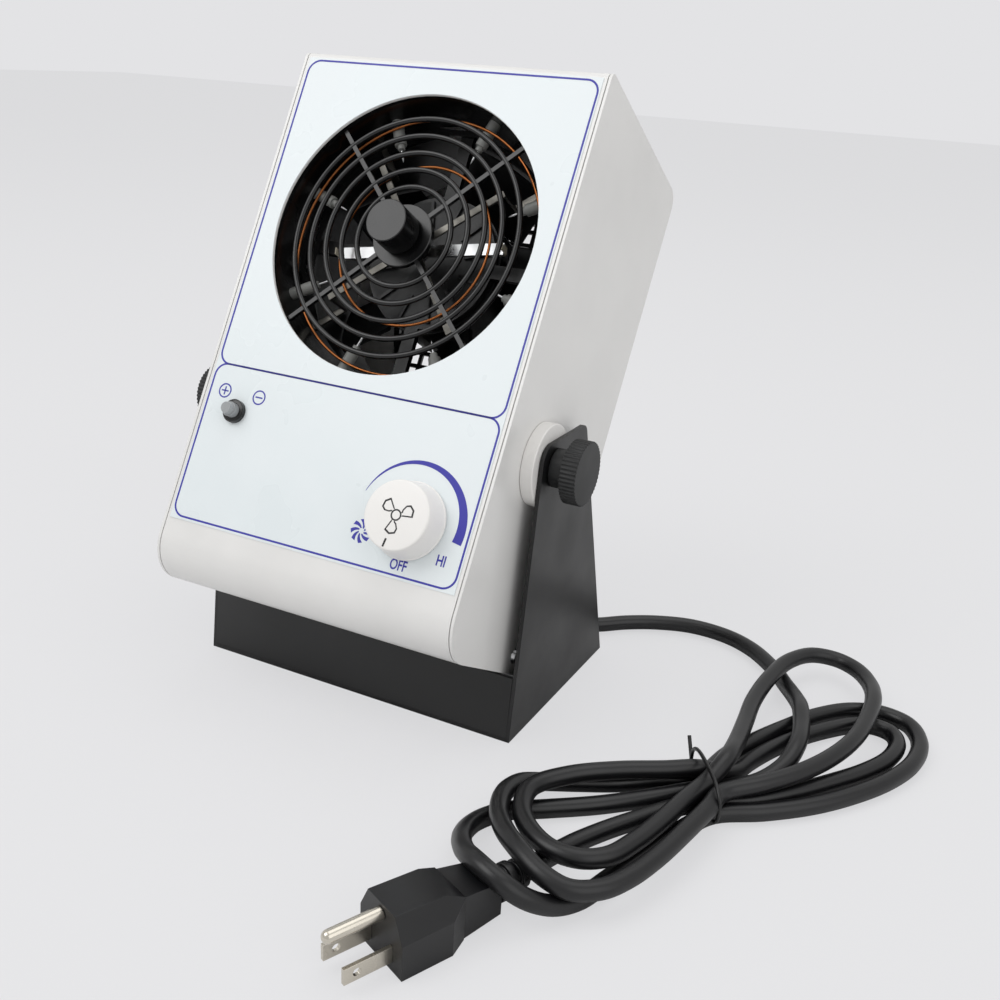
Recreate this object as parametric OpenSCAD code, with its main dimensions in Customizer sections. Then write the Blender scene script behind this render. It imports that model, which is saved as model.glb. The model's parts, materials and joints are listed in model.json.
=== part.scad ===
// Desktop ionizing blower.
// A tilting sheet steel housing hangs in a bent steel stand. It holds an axial fan, the
// ionizing electrodes in front of it, and the mains electronics below.
// World frame: +Z up, front towards -Y, origin in the middle of the stand's underside.
// The housing is drawn upright about its tilt axis and leaned back as a whole.

/* [Housing] */
// Width over the side sheets
body_w = 145; // [136:1:150]
// Height along the front panel
body_h = 238; // [230:1:246]
// Depth from front panel to rear edge
body_d = 106; // [104:1:108]
// Thickness of the steel sheet
sheet = 1.2; // [0.8:0.1:1.5]
// Outside radius of the roll at the foot of the front cover
foot_r = 18; // [15:1:22]
// Outside radius of the rear corners
rear_r = 8; // [6:1:10]
// Outside radius of the front top edge
top_r = 3; // [2:0.5:5]
// Seam between the front cover and the side sheets
seam = 0.4; // [0.2:0.1:0.6]
// Thickness of the printed front overlay
overlay_t = 0.3; // [0.2:0.1:0.5]
// Margin of the overlay to the side edges
overlay_margin = 3; // [2.5:0.5:5]

/* [Tilt] */
// Lean of the housing at rest, degrees
lean_back = 30; // [20:1:30]
// Height of the tilt axis above the housing's foot
pivot_up = 87; // [86:0.5:87]
// Distance of the tilt axis behind the front panel
pivot_back = 35.5; // [34:0.5:36]
// Clamp screw diameter
clamp_d = 5; // [4:0.5:6]

/* [Stand] */
// Depth of the stand on the table
stand_d = 102; // [100:1:120]
// Thickness of the stand's sheet
stand_t = 1.8; // [1.5:0.1:2]
// Gap between the base plate and the housing's rear foot corner as it swings past
swing_gap = 7; // [6.5:0.5:10]
// Tilt axis ahead of the middle of the stand
axis_ahead = 24; // [20:0.5:28]
// How far the arms reach above the tilt axis
arm_above = 11; // [8:0.5:14]
// Lean of the arms' front edge and of the front flange, as a slope
front_slope = 0.112; // [0.1:0.002:0.12]
// Lean of the arms' rear edge, as a slope
rear_slope = 0.33; // [0.3:0.01:0.36]
// Height of the front flange
flange_h = 29.5; // [25:0.5:29.5]
// Thickness of the spacer discs
spacer_t = 6; // [4:0.5:8]
// Diameter of the spacer discs
spacer_d = 35; // [24:1:36]

/* [Thumb knobs] */
// Diameter over the ridges
knob_d = 27; // [22:1:30]
// Length of the ridged part
knob_grip = 7; // [5:0.5:10]
// Length of the shoulder against the arm
knob_shoulder = 7; // [4:0.5:9]
// Number of ridges
ridges = 48; // [30:1:60]

/* [Air opening] */
// Diameter of the round opening
open_d = 120.8; // [118:0.2:122]
// Distance of the opening's centre below the top edge
open_below = 76; // [74:0.5:78]
// Wall of the air duct
duct_wall = 1.6; // [1.2:0.1:2]
// Length of the air duct
duct_len = 29; // [28:0.5:30]
// Thickness of the guard's rings
ring_wire = 2.4; // [2:0.1:2.8]
// Radius of the guard's smallest ring
ring_first = 21.5; // [20:0.5:23]
// Step from ring to ring
ring_step = 7.5; // [7:0.1:7.6]
// Number of guard rings
ring_count = 5; // [4:1:5]
// Diameter of the guard's hub
hub_d = 27; // [24:1:30]
// Diameter of the cleaning knob
cleaner_d = 18; // [14:1:20]
// How far the cleaning knob stands out of the front panel
cleaner_out = 12.5; // [8:0.5:15]

/* [Electrodes] */
// Number of emitter needles
needles = 8; // [4:4:8]
// Radius on which the needle points lie
needle_r = 42; // [42:0.5:43]
// Depth of the needles behind the front panel
needle_dep = 16.5; // [16:0.1:17]
// Radius of the inner copper ring
copper_in_r = 35; // [33:0.5:36]
// Radius of the outer copper ring
copper_out_r = 56.5; // [54:0.5:57]
// Thickness of the copper wire
copper_wire = 1.2; // [1:0.1:1.4]
// Width of the electrode cross's arms
cross_w = 3; // [2.5:0.5:4]
// Turn of the electrode cross, degrees
cross_turn = 39; // [35:1:40]

/* [Fan] */
// Side length of the square fan frame
fan_size = 120; // [119:0.5:120]
// Depth of the fan frame
fan_dep = 38; // [37:0.5:38]
// Inner diameter of the fan frame
fan_bore = 115; // [114:0.5:116]
// Distance between the fan's fixing holes
fan_pitch = 105; // [104:0.5:105]
// Gap between blade tips and frame
tip_gap = 1.2; // [0.8:0.1:2]
// Number of blades
blades = 5; // [5:1:7]
// Diameter of the fan's motor hub
fan_hub_d = 62; // [58:1:64]
// Diameter of the fan shaft
shaft_d = 4; // [3:0.5:5]

/* [Rear guard] */
// Diameter of the rear opening
rear_open_d = 112; // [104:1:112]
// Pitch of the square openings
grid_pitch = 7; // [6:0.5:9]
// Thickness of the bars
grid_bar = 2; // [1.5:0.25:2.5]

/* [Controls] */
// Speed knob: diameter at the panel
dial_d = 31.6; // [28:0.2:32]
// Speed knob: diameter of the face
dial_face_d = 27.8; // [24:0.2:28]
// Speed knob: height above the panel
dial_h = 12.5; // [10:0.5:15]
// Speed knob: distance right of the middle
dial_x = 42.5; // [40:0.5:43]
// Speed knob: distance below the opening's centre
dial_down = 113.7; // [112:0.1:114]
// Lamp: distance left of the middle
lamp_x = 52.5; // [50:0.5:55]
// Lamp: distance below the opening's centre
lamp_down = 87; // [85:0.5:89]
// Lamp: diameter of the black bezel
lamp_d = 10; // [8:0.5:11]
// Lamp: diameter of the lens
lens_d = 6.4; // [5:0.2:6.4]

/* [Cord] */
// Diameter of the mains cord
cord_d = 7.6; // [7:0.2:8]
// Distance of the cord outlet right of the middle
outlet_x = 58; // [56:1:58]
// Distance of the cord outlet below the tilt axis
outlet_down = 58; // [56:1:58]
// Length of the tapered strain relief
relief_len = 32; // [30:1:34]

/* [Hidden] */
$fn = 64;

// Clearances
moving_gap = 0.3;      // between bodies that turn against each other
shaft_gap = 0.05;      // around a turning shaft
fit_gap = 0.15;        // around pieces that only sit in a hole
cut = 1;               // how far a cutting shape runs past a face

// Housing, upright, with the tilt axis as X axis
half_w = body_w / 2;
front_y = -pivot_back;
rear_y = front_y + body_d;
foot_z = -pivot_up;
head_z = foot_z + body_h;
split_dep = body_d - 14;           // where the cover ends and the rear shell begins
tongue = 10;                       // lap of the rear shell under the cover
cover_half = half_w - sheet - seam;
open_up = head_z - open_below;     // height of the opening's centre above the tilt axis
open_r = open_d / 2;
duct_r = open_r + 2.2;             // inner radius of the air duct, hidden by the cover's edge
guard_dep = 3.2;                   // depth of the ring centres behind the front panel
guard_t = ring_wire;
guard_rim_r = open_r + 0.4;
hub_front = 0.5;
hub_back = 3.5;
cleaner_shaft_d = 5;
cross_dep = 13.4;
cross_t = 1.2;
cross_step_r = 44;                 // where the arms step back to the fan
flange_dep = sheet + duct_len - 2; // front face of the duct's rear flange
fan_front = sheet + duct_len;
fan_back = fan_front + fan_dep;
brush_dep = needle_dep + 1.5;      // front face of the brush arm
fan_bore_r = fan_bore / 2;
fan_hub_r = fan_hub_d / 2;
motor_base_t = 3;
hub_gap = 1;
cup_back = fan_back - 3;
screw_d = 3;
stud_d = 4;
nut_t = 3.2;
board_dep = 24;
board_t = 1.6;
board_w = 112;
board_h = 48;
board_x = 4;
board_z = -49;
pot_front = sheet + 3.8;
dial_z = open_up - dial_down;
lamp_z = open_up - lamp_down;
side_screw_dep = 68;
side_screw_up = 8;
hv_size = [64, 40, 44];
hv_x = -28;
hv_z = -56;

// Stand
arm_in = half_w + spacer_t;
arm_out = arm_in + stand_t;
stand_front = -stand_d / 2;
stand_rear = stand_d / 2;
axis_y = -axis_ahead;
// Radius on which the rear foot corner swings about the tilt axis
swing_r = rear_r + norm([body_d - pivot_back - rear_r, pivot_up - rear_r]);
axis_z = stand_t + swing_gap + swing_r;
arm_h = axis_z + arm_above;

// Mains plug: place and heading on the table
plug_at = [127, -131];
plug_heading = -115;
plug_axis_z = 8.5;
relief_l = 16;
plug_nose = 60;
blade_size = [17.8, 1.5, 6.3];
blade_pitch = 12.7;
ground_d = 4.8;
ground_l = 21.4;
ground_up = 11.9;

// Routes of the cord's free stretches, on the table
lead_route = [
    [58, 36.3, 15.8], [58, 42, 12.6], [58.5, 48, 9.4], [61, 54, 7], [66, 60, 5.2], [73, 66, 4.4],
    [84, 77, 4], [98, 86, 4], [115, 92, 4], [134, 91, 4], [149, 84, 4], [163, 71, 4], [168, 64, 4.2]];
tail_route = [[133, -105, 4], [131, -112, 4.4], [129, -119, 5.6], [127, -131, 8.5]];

// ---------- helpers ----------

// Leans the housing and everything in it back about the tilt axis
module lean() { translate([0, axis_y, axis_z]) rotate([-lean_back, 0, 0]) children(); }

// Places a piece on the fan's axis: its own +Z runs rearwards from the depth given
module into(dep, x = 0, z = open_up) {
    translate([x, front_y + dep, z]) rotate([-90, 0, 0]) children();
}

// Extrudes a (y, z) outline between two x positions
module across(x0, x1) { translate([x0, 0, 0]) rotate([90, 0, 90]) linear_extrude(x1 - x0) children(); }

module corner_cut(r) {
    difference() {
        translate([-cut, -cut]) square(r + cut);
        translate([r, r]) circle(r);
    }
}

// Side outline of the housing, drawn in by the amount given
module side_outline(inset = 0) {
    w = body_d - 2 * inset;
    h = body_h - 2 * inset;
    translate([front_y + inset, foot_z + inset]) difference() {
        square([w, h]);
        corner_cut(foot_r - inset);
        translate([w, 0]) mirror([1, 0]) corner_cut(rear_r - inset);
        translate([w, h]) mirror([1, 0]) mirror([0, 1]) corner_cut(rear_r - inset);
        translate([0, h]) mirror([0, 1]) corner_cut(top_r - inset);
    }
}

module wrap_outline() { difference() { side_outline(); side_outline(sheet); } }

// Everything behind a depth, as a cutting outline
module behind(dep) { translate([front_y + dep, foot_z - cut]) square([body_d, body_h + 2 * cut]); }

module tube(r_out, r_in, h) {
    difference() {
        cylinder(r = r_out, h = h);
        translate([0, 0, -cut]) cylinder(r = r_in, h = h + 2 * cut);
    }
}

module wire_ring(r, wire) { rotate_extrude($fn = 60) translate([r, 0]) circle(d = wire, $fn = 14); }

module on_corners(pitch) { for (sx = [-1, 1], sy = [-1, 1]) translate([sx * pitch / 2, sy * pitch / 2, 0]) children(); }

module hex_nut(across_flats, bore, h) {
    difference() {
        cylinder(d = across_flats / cos(30), h = h, $fn = 6);
        translate([0, 0, -cut]) cylinder(d = bore, h = h + 2 * cut, $fn = 32);
    }
}

// Pan-head screw whose head's underside is at z = 0 and whose shank runs along +Z
module pan_screw(d, len) {
    cylinder(d = d, h = len, $fn = 32);
    translate([0, 0, -0.6 * d]) cylinder(r1 = 0.8 * d, r2 = d, h = 0.6 * d, $fn = 32);
}

// Tube of the cord's diameter along a list of points
function unit(v) = v / norm(v);
function heading(p, i) = unit(p[min(i + 1, len(p) - 1)] - p[max(i - 1, 0)]);
function ring_at(p, i, r, n) =
    let(t = heading(p, i), s = unit(cross([0, 0, 1], t)), u = cross(t, s))
    [for (k = [0:n - 1]) p[i] + r * (cos(360 * k / n) * s + sin(360 * k / n) * u)];
module swept_tube(p, d, n = 10) {
    rings = len(p);
    points = [for (i = [0:rings - 1]) each ring_at(p, i, d / 2, n)];
    sides = [for (i = [0:rings - 2], k = [0:n - 1])
        [i * n + k, (i + 1) * n + k, (i + 1) * n + (k + 1) % n, i * n + (k + 1) % n]];
    ends = [[for (k = [0:n - 1]) k], [for (k = [n - 1:-1:0]) (rings - 1) * n + k]];
    polyhedron(points, concat(sides, ends), convexity = 4);
}

// ---------- stand ----------

module arm_outline() {
    top_front = stand_front + front_slope * arm_h;
    top_rear = stand_rear - rear_slope * arm_h;
    hull() {
        translate([stand_front, 0]) square([stand_d, 0.01]);
        translate([top_front + 8.5, arm_h - 8]) circle(8, $fn = 32);
        translate([top_rear - 6, arm_h - 5]) circle(5, $fn = 32);
    }
}

module stand_bracket() color("#1d1e20") {
    translate([-arm_in, stand_front, 0]) cube([2 * arm_in, stand_d, stand_t]);
    for (x = [-arm_out, arm_in]) difference() {
        across(x, x + stand_t) arm_outline();
        translate([x - cut, axis_y, axis_z]) rotate([0, 90, 0])
            cylinder(d = clamp_d + 2 * fit_gap, h = stand_t + 2 * cut);
    }
    across(-arm_in, arm_in) polygon([
        [stand_front, 0], [stand_front + stand_t, 0],
        [stand_front + stand_t + front_slope * flange_h, flange_h],
        [stand_front + front_slope * flange_h, flange_h]]);
}

// ---------- housing sheets ----------

module front_cover() color("white") lean() {
    difference() {
        across(-cover_half, cover_half) difference() { wrap_outline(); behind(split_dep); }
        into(-cut) cylinder(r = open_r, h = sheet + 2 * cut, $fn = 128);
        into(-cut, dial_x, dial_z) cylinder(d = 8, h = sheet + 2 * cut);
        into(-cut, -lamp_x, lamp_z) cylinder(d = 7, h = sheet + 2 * cut);
    }
    // tabs that take the side screws
    for (s = [-1, 1]) difference() {
        translate([s * (cover_half - sheet / 2) - sheet / 2, front_y + side_screw_dep - 7, foot_z + sheet])
            cube([sheet, 14, side_screw_up + 6]);
        side_screw_axis(s) cylinder(d = screw_d + 2 * shaft_gap, h = 20, center = true, $fn = 32);
    }
}

// Axis of a side screw, +Z pointing into the housing
module side_screw_axis(s) {
    translate([s * half_w, front_y + side_screw_dep, foot_z + side_screw_up]) rotate([0, -s * 90, 0]) children();
}

module rear_shell() color("white") lean() {
    for (s = [-1, 1]) difference() {
        across(s > 0 ? half_w - sheet : -half_w, s > 0 ? half_w : sheet - half_w) side_outline();
        translate([s * half_w, 0, 0]) rotate([0, 90, 0])
            cylinder(d = clamp_d + 2 * fit_gap, h = 10, center = true);
        side_screw_axis(s) cylinder(d = screw_d + 2 * fit_gap, h = 10, center = true, $fn = 32);
    }
    difference() {
        union() {
            across(sheet - half_w, half_w - sheet) intersection() { wrap_outline(); behind(split_dep + seam); }
            // tongues that slide under the cover
            for (z = [foot_z + sheet, head_z - 2 * sheet])
                translate([-cover_half + 6, front_y + split_dep - tongue, z])
                    cube([2 * cover_half - 12, tongue + 5, sheet]);
        }
        into(body_d - sheet - cut) cylinder(d = rear_open_d, h = sheet + 2 * cut, $fn = 96);
        into(body_d - sheet - cut) on_corners(fan_pitch - 16)
            cylinder(d = screw_d + 2 * fit_gap, h = sheet + 2 * cut, $fn = 32);
        into(body_d - sheet - cut, outlet_x, -outlet_down) cylinder(d = 12, h = sheet + 2 * cut);
        for (dx = [-20, 20]) into(body_d - sheet - cut, hv_x + dx, hv_z)
            cylinder(d = screw_d + 2 * fit_gap, h = sheet + 2 * cut, $fn = 32);
    }
}

module front_overlay() color("#eef1f3") lean() {
    low = foot_r + 7;
    difference() {
        translate([-half_w + overlay_margin, front_y - overlay_t, foot_z + low])
            cube([body_w - 2 * overlay_margin, overlay_t, body_h - low - 3.2]);
        into(-cut) cylinder(r = open_r + 0.1, h = 2 * cut, $fn = 128);
        into(-cut, dial_x, dial_z) cylinder(d = 8, h = 2 * cut);
        into(-cut, -lamp_x, lamp_z) cylinder(d = 7, h = 2 * cut);
    }
}

// ---------- guard, duct and electrodes ----------

module front_guard() color("#1a1b1d") lean() {
    into(guard_dep) for (i = [0:ring_count - 1]) wire_ring(ring_first + i * ring_step, ring_wire);
    into(guard_dep - guard_t / 2) {
        tube(duct_r - fit_gap, guard_rim_r, guard_t);
        for (a = [45:90:315]) rotate(a)
            translate([hub_d / 2 - 1, -0.9, 0]) cube([guard_rim_r + 0.3 - hub_d / 2 + 1, 1.8, guard_t]);
    }
    into(hub_front) tube(hub_d / 2, cleaner_shaft_d / 2 + shaft_gap, hub_back - hub_front);
}

module air_duct() color("#101113") lean() {
    ledge = guard_dep + guard_t / 2 + 0.1;
    difference() {
        into(0) {
            rotate_extrude($fn = 96) polygon([
                [duct_r, sheet], [duct_r + duct_wall, sheet], [duct_r + duct_wall, flange_dep],
                [duct_r - 1, flange_dep], [duct_r - 1, ledge], [duct_r, ledge]]);
            translate([0, 0, flange_dep]) difference() {
                translate([-fan_size / 2, -fan_size / 2, 0]) cube([fan_size, fan_size, 2]);
                translate([0, 0, -cut]) cylinder(r = fan_bore_r, h = 2 + 2 * cut, $fn = 96);
                translate([0, 0, -cut]) on_corners(fan_pitch) cylinder(d = stud_d + 2 * fit_gap, h = 2 + 2 * cut);
            }
        }
        needle_places() cylinder(r = 2.6, h = 80, $fn = 32);
    }
}

// Radial places of the needles, +Z pointing outwards from the fan's axis
module needle_places() {
    into(needle_dep) for (i = [0:needles - 1]) rotate(-27 - 360 * i / needles) rotate([0, 90, 0]) children();
}

module needle_holders() color("#9a9b98") lean() {
    needle_places() {
        translate([0, 0, needle_r + 8]) cylinder(r = 2.6, h = duct_r + duct_wall - needle_r - 8, $fn = 32);
        translate([0, 0, needle_r + 6]) cylinder(r = 1.6, h = 2, $fn = 32);
    }
}

module emitter_needles() color("silver") lean() {
    needle_places() {
        translate([0, 0, needle_r + 2]) cylinder(r = 0.5, h = 4, $fn = 24);
        translate([0, 0, needle_r]) cylinder(r1 = 0.1, r2 = 0.5, h = 2, $fn = 24);
    }
}

module electrode_cross() color("silver") lean() {
    into(cross_dep) {
        tube(6, cleaner_shaft_d / 2 + shaft_gap, cross_t);
        for (a = [0:90:270]) rotate(-cross_turn - a) {
            translate([5, -cross_w / 2, 0]) cube([cross_step_r - 5, cross_w, cross_t]);
            translate([cross_step_r - cross_t, -cross_w / 2, 0])
                cube([cross_t, cross_w, flange_dep - cross_dep]);
            translate([cross_step_r - cross_t, -cross_w / 2, flange_dep - cross_dep - cross_t])
                cube([duct_r - 2 - cross_step_r + cross_t, cross_w, cross_t]);
        }
    }
}

module inner_copper_ring() color("#b0612c") lean()
    into(cross_dep - copper_wire / 2 - fit_gap) wire_ring(copper_in_r, copper_wire);

module outer_copper_ring() color("#b0612c") lean()
    into(needle_dep - 2.6 - copper_wire / 2 - fit_gap) wire_ring(copper_out_r, copper_wire);

// ---------- needle cleaner ----------

module cleaner_knob() color("#161719") lean() {
    into(-cleaner_out) cylinder(d = cleaner_d, h = cleaner_out + hub_front - moving_gap);
    into(-1) cylinder(d = cleaner_shaft_d, h = brush_dep + 1 + 3, $fn = 48);
}

module cleaner_arm() color("silver") lean() into(brush_dep) difference() {
    union() {
        rotate(-9) translate([-needle_r + 3, -2.5, 0]) cube([2 * needle_r - 6, 5, 1.5]);
        cylinder(r = 5, h = 1.5);
    }
    translate([0, 0, -cut]) cylinder(d = cleaner_shaft_d, h = 4, $fn = 48);
}

module cleaner_brush() color("#d8d2c0") lean() into(brush_dep) rotate(-9)
    for (s = [-1, 1]) translate([s * (needle_r - 5) - 2, -2, 1.5]) {
        cube([4, 4, 1.5]);
        translate([s > 0 ? 4 : -0.4, 0.5, -4.2]) cube([0.4, 3, 5.7]);
    }

// ---------- fan ----------

module fan_frame() color("#232527") lean() into(fan_front) difference() {
    union() {
        tube(fan_bore_r + 2, fan_bore_r, fan_dep);
        for (z = [0, fan_dep - 4]) translate([0, 0, z]) difference() {
            translate([-fan_size / 2, -fan_size / 2, 0]) cube([fan_size, fan_size, 4]);
            translate([0, 0, -cut]) cylinder(r = fan_bore_r, h = 6, $fn = 96);
        }
        cylinder(r = fan_hub_r - 1, h = motor_base_t);
        for (a = [0:90:270]) rotate(a) translate([fan_hub_r - 3, -3, 0])
            cube([fan_bore_r - fan_hub_r + 4, 6, motor_base_t]);
        cylinder(r = 6, h = fan_dep - 8);
        // cooling ribs on the motor base
        for (a = [15:30:345]) rotate(a) translate([16, -0.8, -1.2]) cube([12, 1.6, 1.4]);
    }
    translate([0, 0, -cut]) on_corners(fan_pitch) cylinder(d = stud_d + 2 * fit_gap, h = fan_dep + 2 * cut);
    translate([0, 0, motor_base_t]) cylinder(r = 4.5, h = fan_dep);
}

module fan_bearings() color("silver") lean()
    for (z = [motor_base_t, fan_dep - 12]) into(fan_front + z) tube(4.45, shaft_d / 2 + shaft_gap, 4);

module fan_stator() color("#8a5a34") lean() into(fan_front + motor_base_t + 3) difference() {
    cylinder(r = 21, h = 16);
    translate([0, 0, -cut]) cylinder(r = 6.05, h = 18);
    for (a = [0:30:330]) rotate(a) translate([9, -1.2, -cut]) cube([14, 2.4, 18]);
}

module fan_shaft() color("silver") lean()
    into(fan_front + motor_base_t + 0.5) cylinder(d = shaft_d, h = cup_back - fan_front - motor_base_t - 0.5);

module rotor_cup() color("#6f7275") lean() {
    front = fan_front + motor_base_t + hub_gap;
    into(front) tube(fan_hub_r - 3, fan_hub_r - 6, cup_back - front);
    into(cup_back - 2) tube(fan_hub_r - 5, shaft_d / 2, 2);
}

module fan_impeller() color("#1b1c1f") lean() {
    front = fan_front + motor_base_t + hub_gap;
    depth = cup_back - front;
    tip_r = fan_bore_r - tip_gap;
    into(front) {
        tube(fan_hub_r, fan_hub_r - 3, depth);
        for (i = [0:blades - 1]) rotate(360 * i / blades) intersection() {
            translate([fan_hub_r - 1, 0, depth / 2]) rotate([38, 0, 0])
                translate([0, -19, -0.9]) cube([tip_r, 38, 1.8]);
            translate([0, 0, 0.5]) tube(tip_r, fan_hub_r - 1.5, depth - 1);
        }
    }
}

module fan_studs() color("silver") lean() into(sheet) on_corners(fan_pitch)
    cylinder(d = stud_d, h = fan_back - sheet + nut_t + 2, $fn = 32);

module fan_spacers() color("silver") lean() into(sheet) on_corners(fan_pitch)
    tube(3.5, stud_d / 2 + shaft_gap, flange_dep - sheet);

module fan_nuts() color("silver") lean() into(fan_back) on_corners(fan_pitch)
    hex_nut(7, stud_d + 2 * shaft_gap, nut_t);

module rear_guard() color("#1a1b1d") lean() {
    r = rear_open_d / 2 - fit_gap;
    n = floor((r - 3) / grid_pitch);
    into(body_d - sheet) {
        tube(r, r - 3, sheet);
        translate([0, 0, sheet]) difference() {
            union() {
                tube(r + 4, r - 3, 2);
                on_corners(fan_pitch - 16) cylinder(r = 6, h = 2);
            }
            translate([0, 0, -cut]) cylinder(r = r - 3.5, h = 4);
            translate([0, 0, -cut]) on_corners(fan_pitch - 16)
                cylinder(d = screw_d + 2 * fit_gap, h = 4, $fn = 32);
        }
        // bars: upright ones in front, level ones behind them
        for (i = [-n:n]) {
            k = i * grid_pitch;
            half = sqrt((r - 2) * (r - 2) - k * k);
            translate([k - grid_bar / 2, -half, 0]) cube([grid_bar, 2 * half, 1.4]);
            translate([-half, k - grid_bar / 2, 1.2]) cube([2 * half, grid_bar, 1.4]);
        }
    }
}

module rear_guard_screws() color("silver") lean() into(body_d + 2) rotate([180, 0, 0])
    on_corners(fan_pitch - 16) pan_screw(screw_d, 8);

// ---------- controls ----------

module speed_knob() color("white") lean() into(-dial_h, dial_x, dial_z) difference() {
    union() {
        cylinder(d1 = dial_face_d, d2 = dial_d, h = dial_h - 1.6, $fn = 96);
        translate([0, 0, dial_h - 1.6]) cylinder(d = dial_d, h = 1.6 - overlay_t - moving_gap, $fn = 96);
    }
    translate([0, 0, 2]) cylinder(d = 6, h = dial_h, $fn = 48);
    translate([0, 0, dial_h - 4]) cylinder(d = 16, h = 5);
}

module pot_shaft() color("silver") lean()
    into(-dial_h + 2, dial_x, dial_z) cylinder(d = 6, h = dial_h - 2 + pot_front + 2, $fn = 48);

module pot_body() color("#3b5a86") lean() {
    into(-2.8, dial_x, dial_z) tube(3.8, 3 + shaft_gap, pot_front + 2.8);
    into(pot_front, dial_x, dial_z) difference() {
        cylinder(d = 17, h = 10);
        translate([0, 0, -cut]) cylinder(r = 3 + shaft_gap, h = 3 + cut);
    }
}

module pot_nut() color("silver") lean() into(-overlay_t - 2, dial_x, dial_z) hex_nut(11, 7.8, 2);

module lamp_bezel() color("#17181a") lean() {
    into(-overlay_t - 2, -lamp_x, lamp_z) tube(lamp_d / 2, lens_d / 2 - 0.2, 2);
    into(-overlay_t, -lamp_x, lamp_z) tube(3.4, lens_d / 2 - 0.2, 10);
}

module lamp_lens() color("#c9cdcf") lean() {
    into(-5, -lamp_x, lamp_z) cylinder(r = lens_d / 2 - 0.2, h = 9, $fn = 48);
    into(-5.2, -lamp_x, lamp_z) cylinder(r = lens_d / 2, h = 2.9, $fn = 48);
    into(-7.5, -lamp_x, lamp_z) cylinder(r1 = lens_d / 2 - 0.9, r2 = lens_d / 2 - 0.5, h = 2.5, $fn = 48);
}

module lamp_nut() color("#17181a") lean() into(sheet, -lamp_x, lamp_z) hex_nut(10, 6.8, 2.5);

// ---------- electronics ----------

module board_posts(inset = 5) {
    for (sx = [-1, 1], sz = [-1, 1])
        into(0, board_x + sx * (board_w / 2 - inset), board_z + sz * (board_h / 2 - inset)) children();
}

module control_board() color("#2f6b3f") lean() difference() {
    translate([board_x - board_w / 2, front_y + board_dep, board_z - board_h / 2])
        cube([board_w, board_t, board_h]);
    board_posts() translate([0, 0, board_dep - cut]) cylinder(d = screw_d + 2 * fit_gap, h = 4, $fn = 32);
}

module board_parts() color("#b9a14a") lean() {
    back = front_y + board_dep + board_t;
    translate([board_x - 40, back, board_z - 10]) cube([22, 10, 18]);
    translate([board_x - 8, back, board_z - 16]) cube([26, 16, 12]);
    translate([board_x + 28, back, board_z - 14]) cube([14, 3, 24]);
    for (i = [0:3]) into(board_dep + board_t, board_x - 6 + 9 * i, board_z + 12) cylinder(d = 6.5, h = 11, $fn = 32);
}

module board_standoffs() color("silver") lean() board_posts()
    translate([0, 0, sheet]) tube(3, screw_d / 2 + shaft_gap, board_dep - sheet);

module board_screws() color("silver") lean() board_posts()
    translate([0, 0, board_dep + board_t]) rotate([180, 0, 0]) pan_screw(screw_d, 8);

module hv_module() color("#2b2b2e") lean() difference() {
    translate([hv_x - hv_size[0] / 2, rear_y - sheet - hv_size[1], hv_z - hv_size[2] / 2]) cube(hv_size);
    for (dx = [-20, 20]) into(body_d - sheet - 8, hv_x + dx, hv_z)
        cylinder(d = screw_d + 2 * shaft_gap, h = 10, $fn = 32);
}

module hv_screws() color("silver") lean() for (dx = [-20, 20])
    into(body_d, hv_x + dx, hv_z) rotate([180, 0, 0]) pan_screw(screw_d, 7);

// ---------- tilt hardware ----------

module side_screws() color("silver") lean() for (s = [-1, 1]) side_screw_axis(s) pan_screw(screw_d, 6);

// Tilt axis at the outer face of one side sheet, +Z pointing outwards
module pivot_axis(s) { translate([s * half_w, 0, 0]) rotate([0, s * 90, 0]) children(); }

module pivot_nuts() color("silver") lean() for (s = [-1, 1]) pivot_axis(s)
    translate([0, 0, -sheet - 5]) hex_nut(10, clamp_d + 2 * shaft_gap, 5);

module spacer(s) {
    lean() pivot_axis(s) tube(spacer_d / 2, clamp_d / 2 + fit_gap, spacer_t - moving_gap);
}
module left_spacer() color("white") spacer(-1);
module right_spacer() color("white") spacer(1);

// Knob with fine ridges on its rim and a plain shoulder against the arm
module thumb_knob(s) {
    shoulder_at = spacer_t + stand_t + moving_gap;
    face_at = shoulder_at + knob_shoulder + knob_grip;
    lean() pivot_axis(s) difference() {
        union() {
            translate([0, 0, shoulder_at]) cylinder(d = 0.6 * knob_d, h = knob_shoulder);
            translate([0, 0, shoulder_at + knob_shoulder]) linear_extrude(knob_grip) polygon([
                for (i = [0:2 * ridges - 1]) (knob_d / 2 - (i % 2) * 0.6) *
                    [cos(180 * i / ridges), sin(180 * i / ridges)]]);
        }
        translate([0, 0, shoulder_at - cut]) cylinder(d = clamp_d, h = face_at - shoulder_at - 3 + cut);
    }
}
module left_thumb_knob() color("#202124") thumb_knob(-1);
module right_thumb_knob() color("#202124") thumb_knob(1);

module clamp_screw(s) {
    tip = sheet + 8;
    length = tip + spacer_t + stand_t + moving_gap + knob_shoulder + knob_grip - 3;
    lean() pivot_axis(s) translate([0, 0, -tip]) cylinder(d = clamp_d, h = length);
}
module left_clamp_screw() color("silver") clamp_screw(-1);
module right_clamp_screw() color("silver") clamp_screw(1);

// ---------- cord ----------

module cord_bushing() color("#141416") lean() into(body_d, outlet_x, -outlet_down) {
    difference() {
        cylinder(d1 = 13, d2 = cord_d + 1.6, h = relief_len);
        for (z = [6:5:relief_len - 5]) translate([0, 0, z]) tube(10, cord_d / 2 + 0.9, 1.6);
    }
    cylinder(d = 17, h = 2);
    translate([0, 0, -sheet - 2]) cylinder(d = 11.7, h = sheet + 2);
    translate([0, 0, -sheet - 2]) cylinder(d = 17, h = 2);
}

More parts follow.
